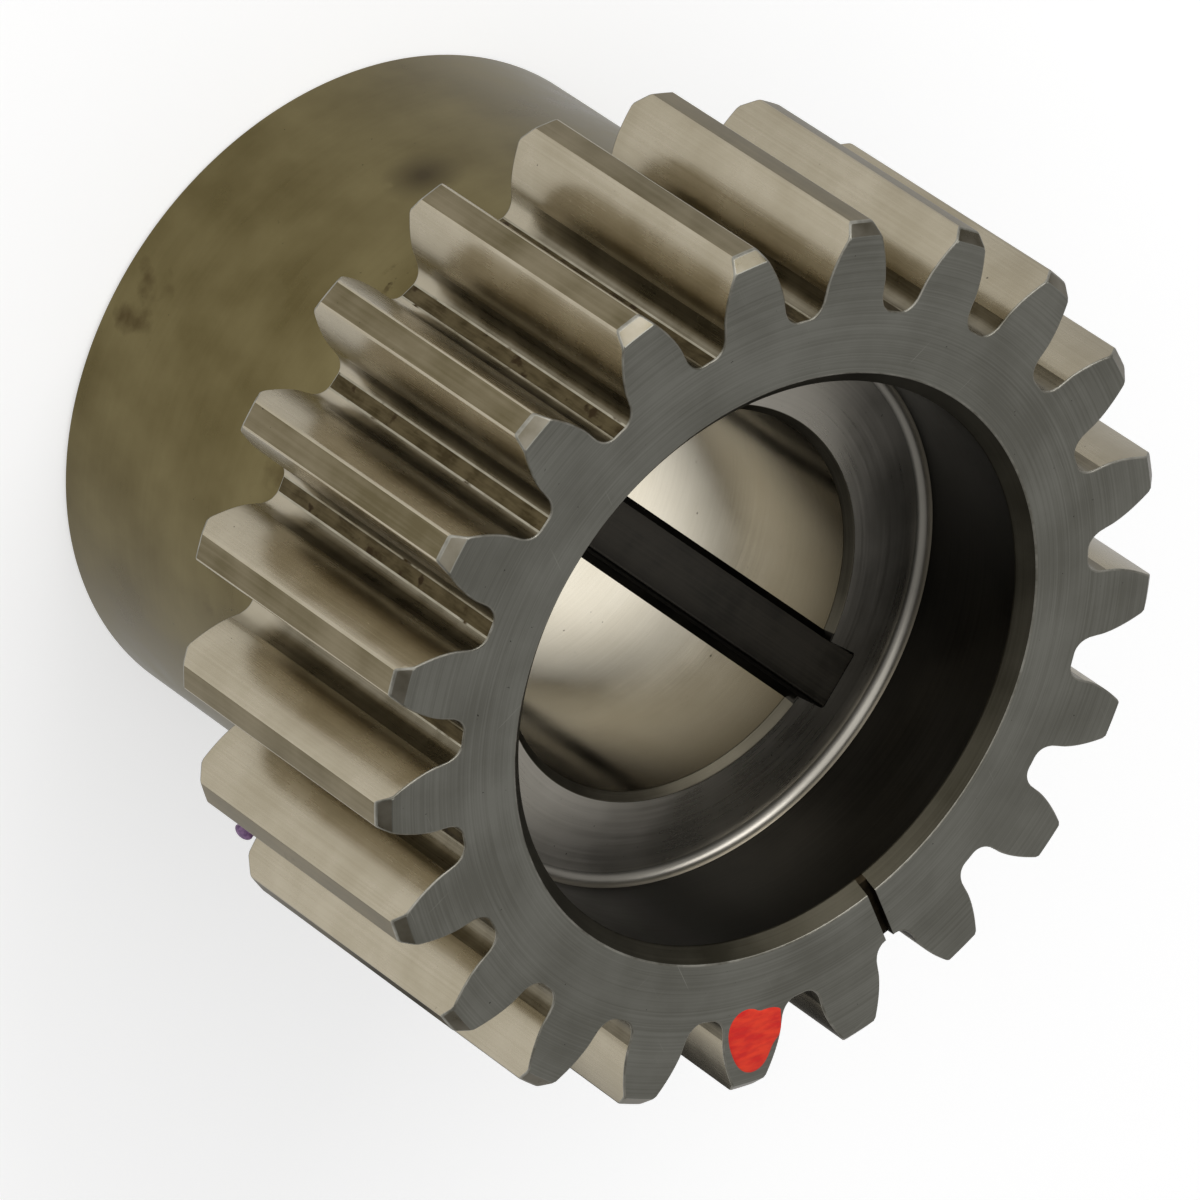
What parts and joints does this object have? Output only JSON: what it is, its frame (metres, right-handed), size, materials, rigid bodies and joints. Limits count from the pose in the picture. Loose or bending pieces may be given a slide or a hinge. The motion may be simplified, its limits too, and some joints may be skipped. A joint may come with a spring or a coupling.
{
  "type": "pinion gear",
  "caption": "Spur pinion with an integral hub, a keyed bore, a round recess in its open face and a timing mark.",
  "frame": {"origin": "on the axis of the bore, at the flat end of the hub, which the gear stands on", "axes": "+Z along the bore axis from the hub end to the open face of the teeth; +Y from the axis towards the keyway"},
  "size_m": [0.0364, 0.0364, 0.0276],
  "materials": {
    "steel": "cut and turned steel, satin, with faint heat tint on the hub",
    "red_paint": "thin brushed dab of red paint"
  },
  "bodies": {
    "root": {"pinion_gear": "steel", "paint_mark": "red_paint"}
  },
  "joints": []
}
